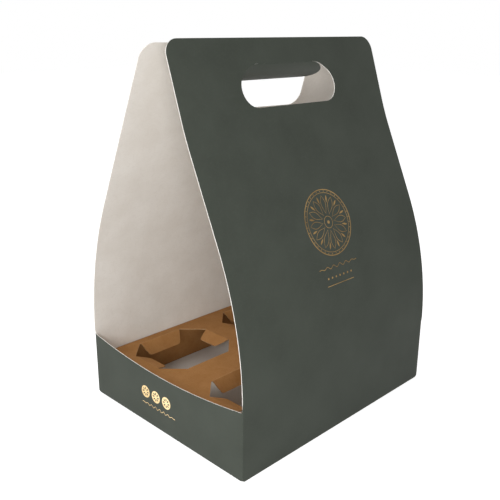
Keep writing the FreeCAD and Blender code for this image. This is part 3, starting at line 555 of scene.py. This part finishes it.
def foldedSheet():
    s = sheetCard
    halfLong, halfCross = s["length"] / 2, s["width"] / 2
    fold, board, step, notch, slack = (s[name] for name in ("fold", "board", "step", "notch", "slack"))
    quarter = fold * math.pi / 2
    frontRun, endRun = halfLong - fold, 2 * (halfCross - fold)
    backRun = 2 * frontRun - board  # the glue flap's crease stands inside the end panel
    endMiddle = frontRun + quarter + endRun / 2
    backMiddle = -(frontRun + 2 * quarter + endRun + frontRun)
    glueCrease = -(frontRun + 2 * quarter + endRun + backRun)
    topHalf = halfCross - fold + s["topInset"]
    freeHalf = topHalf + s["topInset"]

    def aroundWalls(u):  # place and outward direction of the printed face, seen from above
        side, left = (1 if u >= 0 else -1), abs(u)
        spot, heading = Vector((0, -halfCross)), 0.0
        for run in (frontRun, endRun, backRun, 1.0):  # the last run is the glue flap, however long
            ahead = aimed(heading)
            if left <= run:
                spot = spot + ahead * left
                break
            spot, left = spot + ahead * run, left - run
            turn = min(left / fold, math.pi / 2)
            heading += turn
            spot = spot + leftOf(ahead) * fold - leftOf(aimed(heading)) * fold
            if left < quarter:
                break
            left -= quarter
        outward = -leftOf(aimed(heading))
        return Vector((spot.x * side, spot.y)), Vector((outward.x * side, outward.y))

    def foldSheet(u, height):
        spot, outward = aroundWalls(u)
        for middle, flatY, way in ((0.0, -halfCross, 1), (backMiddle, halfCross, -1)):
            if abs(u - middle) < halfLong + slack and height > s["endHeight"]:
                # a tall panel's edges lie flat above the end panels
                share = min(1.0, (height - s["endHeight"]) / (s["bendStart"] - s["endHeight"]))
                spot = spot.lerp(Vector(((u - middle) * way, flatY)), share)
                outward = outward.lerp(Vector((0, -way)), share).normalized()
        if abs(u - backMiddle) < halfLong + slack and height > s["bendStart"]:
            share = ((height - s["bendStart"]) / s["swayHeight"]) ** s["swayPower"]
            spot = spot - Vector((0, share * (s["sway"] + s["twist"] * spot.x)))
        onEnd = abs(abs(u) - endMiddle) < endRun / 2 - s["topInset"]
        onLong = min(abs(u), abs(u - backMiddle)) < s["flapHalf"] + slack
        lift = board if onEnd else 0.0
        level = Vector((*outward, 0))
        if height >= lift + fold or not (onEnd or onLong):
            return Vector((*spot, height)), level
        turn = min((lift + fold - height) / fold, math.pi / 2)
        inward = fold * (1 - math.cos(turn)) + max(0.0, lift + fold - height - quarter)
        low = Vector((*spot, lift + fold - fold * math.sin(turn))) - level * inward
        return low, level * math.cos(turn) - up * math.sin(turn)

    def tallEdge(left, right):  # up the right edge of a tall panel, over its round top and down to its left
        top, corner, start = s["height"], s["topCorner"], s["bendStart"] + s["edgeStart"]
        path = straight((right, start), (right, top - corner), step)
        path += arc((right - corner, top - corner), corner, 0, 90, 12)
        path += straight((right - corner, top), (left + corner, top), step)
        path += arc((left + corner, top - corner), corner, 90, 180, 12)
        return path + straight((left, top - corner), (left, start), step)

    def endTop(middle, fromFold):  # the hollow top of an end panel, from its right end to its left
        sag, small = s["endSag"], s["endCorner"]
        radius = (topHalf * topHalf + sag * sag) / (2 * sag)
        centre = s["endHeight"] - sag + radius
        reach = topHalf - small
        rise = centre - math.sqrt((radius - small) ** 2 - reach ** 2)
        lean = math.degrees(math.atan2(rise - centre, reach))
        if fromFold:
            path, first = arc((middle + reach, rise), small, 0, lean, 6), lean
        else:
            path, first = [], math.degrees(math.atan2(-math.sqrt(radius ** 2 - freeHalf ** 2), freeHalf))
        path += arc((middle, centre), radius, first, -180 - lean, 44)
        return path + arc((middle - reach, rise), small, -180 - lean, -180, 6)

    # right end panel's free edge and top, front panel, left end panel, back panel and glue flap
    outline = straight((endMiddle + freeHalf, notch), (endMiddle + freeHalf, s["endHeight"]), step)
    outline += endTop(endMiddle, False)
    outline += tallEdge(-halfLong, halfLong)
    outline += endTop(-endMiddle, True)
    outline += tallEdge(backMiddle - halfLong, backMiddle + halfLong)
    glueEnd = glueCrease - quarter - (s["glueWidth"] - fold)
    low = 2 * board
    outline += polyline([(backMiddle - halfLong, s["glueTop"]), (glueEnd + s["glueCut"], s["glueTop"]),
                         (glueEnd, s["glueTop"] - s["glueCut"]), (glueEnd, low), (glueCrease - quarter, low)],
                        step)

    # then the bottom flaps, from the back panel's round to the right end panel's
    longReach = halfCross - s["seam"] - fold + quarter - fold
    endReach = s["endFlapReach"] - fold + quarter - fold - board
    longFlap = (s["flapHalf"], s["flapHalf"] - (halfCross - s["seam"] - fold), longReach)
    endFlap = (s["endFlapHalf"], s["endFlapHalf"] - s["endFlapTaper"], endReach)
    for middle, (half, tip, reach) in ((backMiddle, longFlap), (-endMiddle, endFlap), (0.0, longFlap),
                                       (endMiddle, endFlap)):
        outline += polyline([(middle - half, notch), (middle - tip, -reach), (middle + tip, -reach),
                             (middle + half, notch)], step)

    def slotLoop(middle, slot):  # clockwise from the right end of its high edge
        top = s["height"] - slot["drop"]
        low, shoulder, corner = top - slot["height"], slot["shoulder"], slot["corner"]
        high = Vector((middle + slot["highEdge"] / 2, top - shoulder))
        deep = Vector((middle + slot["lowEdge"] / 2, low + corner))
        span = deep - high
        square = 90 + math.degrees(math.atan2(span.y, span.x) - math.asin((shoulder - corner) / span.length))
        side = aimed(math.radians(square))
        right = arc(high, shoulder, 90, square, 14)
        right += straight(high + side * shoulder, deep + side * corner, step)
        right += arc(deep, corner, square, -90, 18) + [Vector((deep.x, low))]
        left = [Vector((2 * middle - spot.x, spot.y)) for spot in reversed(right)]
        path = right + straight(right[-1], left[0], step)[1:] + left
        return path + straight(left[-1], right[0], step)[1:]

    slot = s["slot"]
    loops = [outline, slotLoop(0.0, slot), slotLoop(backMiddle, s["backSlot"])]
    creases = []
    tops, glueTops = s["foldTops"], [s["glueTop"] - s["creaseGap"]] * len(foldWearAndHighlight)
    # the upright folds' lines carry the lighter marks, partly wear and partly a painted highlight
    for start, way, ends in ((frontRun, 1, tops), (frontRun, -1, tops),
                             (frontRun + quarter + endRun, -1, tops[::-1]), (-glueCrease, -1, glueTops)):
        for part, (top, worn) in enumerate(zip(ends, foldWearAndHighlight)):
            across = way * (start + quarter * part / 4)
            creases.append((polyline([(across, notch + s["creaseGap"]), (across, top)], step), worn))
    for middle, half, lift in ((0.0, longFlap[0], 0.0), (backMiddle, longFlap[0], 0.0),
                               (endMiddle, endFlap[0], board), (-endMiddle, endFlap[0], board)):
        for part, worn in enumerate(s["bottomWear"]):
            height = lift + fold - quarter * part / 4
            reach = half - (s["creaseEnd"] if height > notch else s["lowCreaseEnd"])
            creases.append((polyline([(middle - reach, height), (middle + reach, height)], step), worn))
    cut = cutCard(loops, creases, step, s["band"])
    hingeHeight, hingeHalf = s["height"] - slot["drop"], slot["highEdge"] / 2

    def onHinge(spot):
        return abs(spot.y - hingeHeight) < s["hair"] and abs(spot.x) < hingeHalf + s["hair"]

    walls = cardPiece("walls", cut, foldSheet, board, onHinge)
    skins = skinsOf("printedCard", "plainCard", "cutEdge")
    start = s["bendStart"]
    frontProfile, frontTop, heading = profileCurve("frontProfile", (-halfCross, start), 90, s["front"])
    backProfile, _, _ = profileCurve("backProfile", (halfCross, start), 90, s["back"])
    for profile, side in ((frontProfile, -1.0), (backProfile, 1.0)):
        addTree(walls, followProfile, {"Profile": profile, "Side": side, "Start": start,
                                       "Outer Face": halfCross, **skins})
    makePlain(walls)

    # the flap of the front slot, from its hinge on
    flapLoop = [Vector((spot.x, hingeHeight - spot.y + (0 if onHinge(spot) else s["cutWidth"])))
                for spot in loops[1]]
    flapCreases = []
    for part, worn in s["flapCreases"].items():
        out = math.radians(s["flapTurn"]) * fold * part / 4
        half = hingeHalf + math.sqrt(out * (2 * slot["shoulder"] - out)) - s["flapCreaseEnd"]
        flapCreases.append((polyline([(-half, out), (half, out)], step), worn))
    cut = cutCard([flapLoop], flapCreases, s["flapStep"], s["band"])
    flap = cardPiece("flap", cut, lambda u, v: (Vector((-u, halfCross, v)), Vector((0, 1, 0))), board,
                     lambda spot: onHinge(Vector((spot.x, hingeHeight - spot.y))))
    hinge = frontTop + aimed(math.radians(heading + 180)) * (slot["drop"] + s["frontSpare"])
    curl = math.degrees(slot["height"] / s["flapCurl"])
    flapPath = [("bend", fold, s["flapTurn"]), ("bend", s["flapCurl"], curl)]
    flapProfile, _, _ = profileCurve("flapProfile", hinge, heading + 180, flapPath)
    addTree(flap, followProfile, {"Profile": flapProfile, "Start": -s["hair"], "Outer Face": halfCross,
                                  **skins})
    makePlain(flap)

    # the tongue that locks the bottom, on top of the long flaps
    wide, short = s["tongue"] / 2, s["tongue"] / 2 - s["tongueTaper"]
    tongueLoop = polygon([(-wide, -s["tongueReach"]), (wide, -s["tongueReach"]), (short, s["tongueReach"]),
                          (-short, s["tongueReach"])], step)
    cut = cutCard([tongueLoop], [], step, s["band"])
    tongue = cardPiece("tongue", cut, lambda u, v: (Vector((u, v, 2 * board)), up), board)
    addTree(tongue, followProfile, {"Start": nowhere, **skinsOf("plainCard", "printedCard", "cutEdge")})
    makePlain(tongue)
    for helper in (backProfile, flapProfile):
        bpy.data.objects.remove(helper)
    return joinPieces("foldedCard", [walls, flap, tongue], s["joinGap"]), frontProfile


foldedCard, frontProfile = foldedSheet()
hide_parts("carrier_body")
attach(foldedCard, "root")
print("folded sheet:", len(foldedCard.data.polygons), "faces")

# the kraft tray

kraftTray = {
    "halfLong": 0.1105, "halfCross": 0.0888, "top": 0.0365, "foot": 0.0012, "board": 0.0008, "fold": 0.0009,
    "slit": 0.0024, "pitch": (0.101, 0.095), "hole": (0.080, 0.066), "corner": 0.017,
    "tabLength": 0.013, "tabTaper": 0.004, "tabRelief": 0.001, "tabRound": 0.003, "tabFlare": 0.0006,
    "tabCreases": {1: 1.0, 2: 0.8, 3: 0.2},  # wear on the lines of a tab's fold, by thirds of its turn
    "endBend": 20, "sideBend": 58, "creaseEnd": 0.0006,
    "step": 0.0042, "tabStep": 0.003, "band": 0.0008,
}


def turnedCopies(tree, spots, piece, turn):
    rotation = firstOut(tree, "FunctionNodeEulerToRotation", {"Euler": turn})
    return firstOut(tree, "GeometryNodeInstanceOnPoints", {"Points": spots, "Instance": shapeOf(tree, piece),
                                                           "Rotation": rotation})


def buildAtPoints():  # one shape at every point, turned as the point's own turn says
    tree, given, wanted = newShapeTree("shapeAtPoints", [("Shape", "Object"), *skinSlots])
    turn = addNode(tree, "GeometryNodeInputNamedAttribute", {"Name": "turn"}, data_type="FLOAT_VECTOR")
    copies = turnedCopies(tree, given["Geometry"], given["Shape"], turn.outputs["Attribute"])
    dressSkins(tree, copies, given, wanted)
    return tree


shapeAtPoints = buildAtPoints()


def copiesAt(name, shape, spots, turns, skins):  # turns are three angles in degrees for each spot
    mesh = bpy.data.meshes.new(name)
    mesh.from_pydata(spots, [], [])
    turn = mesh.attributes.new("turn", "FLOAT_VECTOR", "POINT")
    turn.data.foreach_set("vector", [math.radians(angle) for each in turns for angle in each])
    copies = newPiece(name, mesh)
    addTree(copies, shapeAtPoints, {"Shape": shape, **skins})
    makePlain(copies)
    bpy.data.objects.remove(shape)
    return copies


def foldedTray():
    t = kraftTray
    fold, quarter = t["fold"], t["fold"] * math.pi / 2
    flatLong, flatCross = t["halfLong"] - fold, t["halfCross"] - fold
    skirt = quarter + t["top"] - fold - t["foot"]
    slitLong = t["halfLong"] - t["slit"]

    def foldTray(p, q):
        out, side = abs(p) - flatLong, Vector((math.copysign(1, p), 0, 0))
        edge = Vector((math.copysign(flatLong, p), q, 0))
        if abs(q) > flatCross:
            out, side = abs(q) - flatCross, Vector((0, math.copysign(1, q), 0))
            edge = Vector((p, math.copysign(flatCross, q), 0))
        if out <= 0:
            return Vector((p, q, t["top"])), up
        turn = min(out / fold, math.pi / 2)
        drop = fold * (1 - math.cos(turn)) + max(0.0, out - quarter)
        spot = edge + side * fold * math.sin(turn) + Vector((0, 0, t["top"] - drop))
        return spot, up * math.cos(turn) + side * math.sin(turn)

    sheet = allRound([(flatLong + skirt, flatCross), (flatLong, flatCross), (slitLong, flatCross),
                      (slitLong, flatCross + skirt)])
    loops = [polygon(sheet[-1:] + sheet[:-1], t["step"])]  # from the near corner of the right skirt on
    halfX, halfY, corner = t["hole"][0] / 2, t["hole"][1] / 2, t["corner"]
    centres = [(x * t["pitch"][0] / 2, y * t["pitch"][1] / 2) for x in (-1, 1) for y in (-1, 1)]
    hole = allRound([(halfX, halfY - corner), (halfX - corner, halfY)])
    loops += [polygon([(cx + x, cy + y) for x, y in hole], t["tabStep"]) for cx, cy in centres]
    creases = []
    for side in (-1, 1):
        for part, worn in enumerate(foldWearAndHighlight):
            out = quarter * part / 4
            across, along = side * (flatLong + out), flatCross - t["creaseEnd"]
            creases.append((polyline([(across, -along), (across, along)], t["step"]), worn))
            across, along = side * (flatCross + out), slitLong - t["creaseEnd"]
            creases.append((polyline([(-along, across), (along, across)], t["step"]), worn))
    skins = skinsOf("kraftCard", "kraftCard", "kraftEdge")
    cut = cutCard(loops, creases, t["step"], t["band"])
    platform = cardPiece("platform", cut, foldTray, t["board"])
    addTree(platform, followProfile, {"Start": nowhere, **skins})
    makePlain(platform)
    parts = [platform]
    for name, half, bend, hinges in (
            ("endTab", halfY - corner - t["tabRelief"], t["endBend"], [(1, 0, 180), (-1, 0, 0)]),
            ("sideTab", halfX - corner - t["tabRelief"], t["sideBend"], [(0, 1, -90), (0, -1, 90)])):
        sweep = math.radians(bend)

        def bendTab(out, across):
            turn = min(out / fold, sweep)
            beyond = max(0.0, out - sweep * fold)
            spot = Vector((fold * math.sin(turn) + beyond * math.cos(turn), across,
                           -fold * (1 - math.cos(turn)) - beyond * math.sin(turn)))
            return spot, Vector((math.sin(turn), 0, math.cos(turn)))

        tip, small, reach, step = half - t["tabTaper"], t["tabRound"], t["tabLength"], t["tabStep"]
        flared = tip + t["tabFlare"]
        loop = straight((0, -half), (reach - small, -flared), step)
        loop += arc((reach - small, -tip + small), small, -90, 0, 6)
        loop += straight((reach, -tip + small), (reach, tip - small), step)
        loop += arc((reach - small, tip - small), small, 0, 90, 6)
        loop += straight((reach - small, flared), (0, half), step) + straight((0, half), (0, -half), step)
        lines = []
        for part, worn in t["tabCreases"].items():
            out, along = fold * sweep * part / 3, half - t["creaseEnd"]
            lines.append((polyline([(out, -along), (out, along)], step), worn))
        tab = cardPiece(name, cutCard([loop], lines, step, t["band"]), bendTab, t["board"])
        spots = [(cx + stepX * halfX, cy + stepY * halfY, t["top"])
                 for cx, cy in centres for stepX, stepY, _ in hinges]
        turns = [(0, 0, turn) for _ in centres for _, _, turn in hinges]
        parts.append(copiesAt(name + "s", tab, spots, turns, skins))
    return joinPieces("kraftTray", parts)


trayPiece = foldedTray()
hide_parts("cup_tray")
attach(trayPiece, "root")
print("kraft tray:", len(trayPiece.data.polygons), "faces")

# foil ornaments: thin plates drawn flat, set on the panels and bent with them

foil = {
    "thick": 0.00004, "sunk": 0.00001, "step": 0.004,
    "front": {
        "spot": (0.0, 0.168),  # across the panel, and along the flat card from the ground fold
        "rings": [(0.0255, 0.0007), (0.0230, 0.0004), (0.0046, 0.0004)],  # radius and line
        "petals": (12, 0.0062, 0.0210, 0.0056, 0.00042),  # count, start, end, width, line
        "leaves": (12, 0.0150, 0.0212, 0.0015), "dots": (36, 0.02425, 0.00045), "core": 0.0013,
        "wave": {"half": 0.0225, "low": -0.0335, "swing": 0.0011, "turns": 6, "line": 0.0005},
        "row": {"count": 7, "pitch": 0.0046, "low": -0.0415, "radius": 0.0008},
        "bar": {"half": 0.0160, "low": -0.0475, "line": 0.00045},
    },
    "end": {
        "spots": [(0.0205, 0.0285), (0.0075, 0.0285), (-0.0055, 0.0285)],  # along the end panel, and up
        "disc": 0.0051, "petals": (8, 0.0012, 0.0042, 0.0013),
        "wave": {"half": 0.0205, "low": 0.0, "swing": 0.0009, "turns": 8, "line": 0.00045},
        "waveSpot": (0.0045, 0.0185),
    },
}


def buildAround():  # copies of a shape turned about the middle, joined to what comes in
    tree, given, wanted = newShapeTree("shapesAround", [
        ("Shape", "Object"), ("Count", "Int", 12), ("First Turn", "Float", 0.0), ("Foil", "Material")])
    spots = firstOut(tree, "GeometryNodePoints", {"Count": given["Count"]})
    part = maths(tree, "DIVIDE", firstOut(tree, "GeometryNodeInputIndex"), given["Count"])
    angle = maths(tree, "ADD", maths(tree, "MULTIPLY", part, math.tau), given["First Turn"])
    copies = turnedCopies(tree, spots, given["Shape"], joinXyz(tree, 0.0, 0.0, angle))
    both = addNode(tree, "GeometryNodeJoinGeometry", {"Geometry": given["Geometry"]})
    tree.links.new(copies, both.inputs[0])
    real = firstOut(tree, "GeometryNodeRealizeInstances", {"Geometry": both.outputs[0]})
    dressed = firstOut(tree, "GeometryNodeSetMaterial", {"Geometry": real, "Material": given["Foil"]})
    tree.links.new(dressed, wanted["Geometry"])
    return tree


def foilPlate(loops):
    face = foil["thick"] - foil["sunk"]
    return cardPiece("plate", cutCard(loops, [], foil["step"], 1.0), lambda u, v: (Vector((u, v, face)), up),
                     foil["thick"])


def ringLoop(radius, count=72, middle=(0, 0)):
    return arc(middle, radius, 0, 360, count)


def leafLoop(start, end, width, line=0.0, count=12, swell=1.25):  # pointed, along the first axis
    shares = [index / count for index in range(count + 1)]
    edge = [(start + line + (end - start - 2 * line) * share,
             (width / 2 - line) * math.sin(math.pi * share ** swell)) for share in shares]
    return [Vector(spot) for spot in edge[:-1]] + [Vector((x, -y)) for x, y in edge[:0:-1]]


def waveLoop(half, low, swing, turns, line, count=120, fade=3):
    across = [half * (2 * index / count - 1) for index in range(count + 1)]
    swung = [low + swing * math.sin(math.pi * turns * (x / half)) * (1 - abs(x / half) ** fade)
             for x in across]
    return ([Vector((x, y - line / 2)) for x, y in zip(across, swung)]
            + [Vector((x, y + line / 2)) for x, y in reversed(list(zip(across, swung)))])


def foilOrnaments():
    around = buildAround()
    front, end = foil["front"], foil["end"]
    bar, row = front["bar"], front["row"]
    half, low, high = bar["half"], bar["low"], bar["low"] + bar["line"]
    drawn = [[ringLoop(radius + line / 2), ringLoop(radius - line / 2)] for radius, line in front["rings"]]
    drawn += [[ringLoop(front["core"], 20)], [waveLoop(**front["wave"])],
              [polygon([(-half, low), (half, low), (half, high), (-half, high)], foil["step"])]]
    for index in range(row["count"]):
        across = (index - (row["count"] - 1) / 2) * row["pitch"]
        drawn.append([ringLoop(row["radius"], 16, (across, row["low"]))])
    medallion = joinPieces("medallion", [foilPlate(loops) for loops in drawn])

    def turned(loops, count, first=0.0):
        shape = foilPlate(loops)
        addTree(medallion, around, {"Shape": shape, "Count": count, "First Turn": math.radians(first),
                                    "Foil": materials["bronzeFoil"]})
        makePlain(medallion)
        bpy.data.objects.remove(shape)

    count, first, last, width, line = front["petals"]
    turned([leafLoop(first, last, width), leafLoop(first, last, width, line)], count)
    count, first, last, width = front["leaves"]
    turned([leafLoop(first, last, width)], count, 180 / count)
    count, reach, radius = front["dots"]
    turned([ringLoop(radius, 10, (reach, 0))], count)
    halfCross, halfLong = sheetCard["width"] / 2, sheetCard["length"] / 2
    bronze, gold = skinsOf(*["bronzeFoil"] * 3), skinsOf(*["goldFoil"] * 3)
    across, along = front["spot"]
    frontFoil = copiesAt("frontFoil", medallion, [(across, -halfCross, along)], [(90, 0, 0)], bronze)
    addTree(frontFoil, followProfile, {"Profile": frontProfile, "Side": -1.0, "Start": sheetCard["bendStart"],
                                       "Outer Face": halfCross, **bronze})
    makePlain(frontFoil)
    count, first, last, width = end["petals"]
    petals = []
    for index in range(count):
        turn = Matrix.Rotation(math.tau * index / count, 2)
        petals.append([turn @ spot for spot in leafLoop(first, last, width)])
    disc, wave = foilPlate([ringLoop(end["disc"], 40)] + petals), foilPlate([waveLoop(**end["wave"])])
    sets = [copiesAt(name, shape, [(-halfLong, y, z) for y, z in spots], [(90, 0, -90)] * len(spots), gold)
            for name, shape, spots in (("discs", disc, end["spots"]), ("endWave", wave, [end["waveSpot"]]))]
    return frontFoil, joinPieces("endFoil", sets)


for ornament in foilOrnaments():
    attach(ornament, "root")
    print("foil:", ornament.name, len(ornament.data.polygons), "faces")
bpy.data.objects.remove(frontProfile)

# camera, floor and light

cameraLook = {"place": (-0.4025, -0.3842, 0.3072), "yaw": 45.15, "pitch": 17.99, "roll": 0.44,
              "lens": 49.9, "sensor": 36.0, "clip": (0.01, 50)}


def addCamera():
    yaw, pitch, roll = (math.radians(cameraLook[name]) for name in ("yaw", "pitch", "roll"))
    right = Vector((math.cos(yaw), -math.sin(yaw), 0))
    ahead = Vector((math.sin(yaw) * math.cos(pitch), math.cos(yaw) * math.cos(pitch), -math.sin(pitch)))
    above = right.cross(ahead)
    data = bpy.data.cameras.new("view")
    data.lens, data.sensor_width = cameraLook["lens"], cameraLook["sensor"]
    data.clip_start, data.clip_end = cameraLook["clip"]
    camera = newPiece("view", data)
    axes = [right * math.cos(roll) + above * math.sin(roll), above * math.cos(roll) - right * math.sin(roll)]
    camera.matrix_world = Matrix((*axes, -ahead)).transposed().to_4x4()
    camera.location = cameraLook["place"]
    bpy.context.scene.camera = camera


studio = {
    "floorSize": 8.0, "floorDrop": 0.0002, "floorColour": (0.82, 0.82, 0.82), "floorRoughness": 0.9,
    "floorSeen": 0.66, "worldSeen": 1.0, "worldLight": 0.38,
    "lamps": [  # name, place, aimed at, size, power
        ("leftSoftbox", (-0.85, 0.10, 0.42), (0, 0, 0.12), 0.5, 3),
        ("frontSoftbox", (-0.45, -0.44, 0.24), (-0.08, -0.05, 0.2), 0.25, 1.8),
        ("topSoftbox", (-0.4, -0.1, 1.7), (0, 0, 0.1), 1.3, 11),
    ],
}


def seenRays(tree):  # 1 where the camera, a mirror or glass looks, and 0 for the light on the object
    rays = addNode(tree, "ShaderNodeLightPath").outputs
    mirrored = maths(tree, "MAXIMUM", rays["Is Glossy Ray"], rays["Is Transmission Ray"])
    return maths(tree, "MAXIMUM", rays["Is Camera Ray"], mirrored)


def addStudio():
    mesh = bpy.data.meshes.new("floor")
    half, low = studio["floorSize"] / 2, -studio["floorDrop"]
    mesh.from_pydata([(-half, -half, low), (half, -half, low), (half, half, low), (-half, half, low)], [],
                     [(0, 1, 2, 3)])
    floor = newPiece("floor", mesh)
    material, tree, shader = newMaterial("paleFloor")
    for name, value in (("Base Color", studio["floorColour"]), ("Roughness", studio["floorRoughness"]),
                        ("Emission Color", (1, 1, 1)),
                        ("Emission Strength", maths(tree, "MULTIPLY", seenRays(tree), studio["floorSeen"]))):
        feed(tree, shader[name], value)
    floor.data.materials.append(material)
    world = bpy.data.worlds.new("studio")
    bpy.context.scene.world = world
    world.use_nodes = True
    tree = world.node_tree
    sky = tree.nodes["Background"].inputs
    strength = remap(tree, seenRays(tree), (0.0, 1.0), (studio["worldLight"], studio["worldSeen"]))
    feed(tree, sky["Color"], (1, 1, 1))
    feed(tree, sky["Strength"], strength)
    for name, place, aim, size, power in studio["lamps"]:
        data = bpy.data.lights.new(name, "AREA")
        data.size, data.energy = size, power
        lamp = newPiece(name, data)
        lamp.location = place
        lamp.rotation_euler = (Vector(aim) - Vector(place)).to_track_quat("-Z", "Y").to_euler()
    bpy.context.scene.view_settings.view_transform = "Standard"


addCamera()
addStudio()
print("camera, floor and lamps in place")
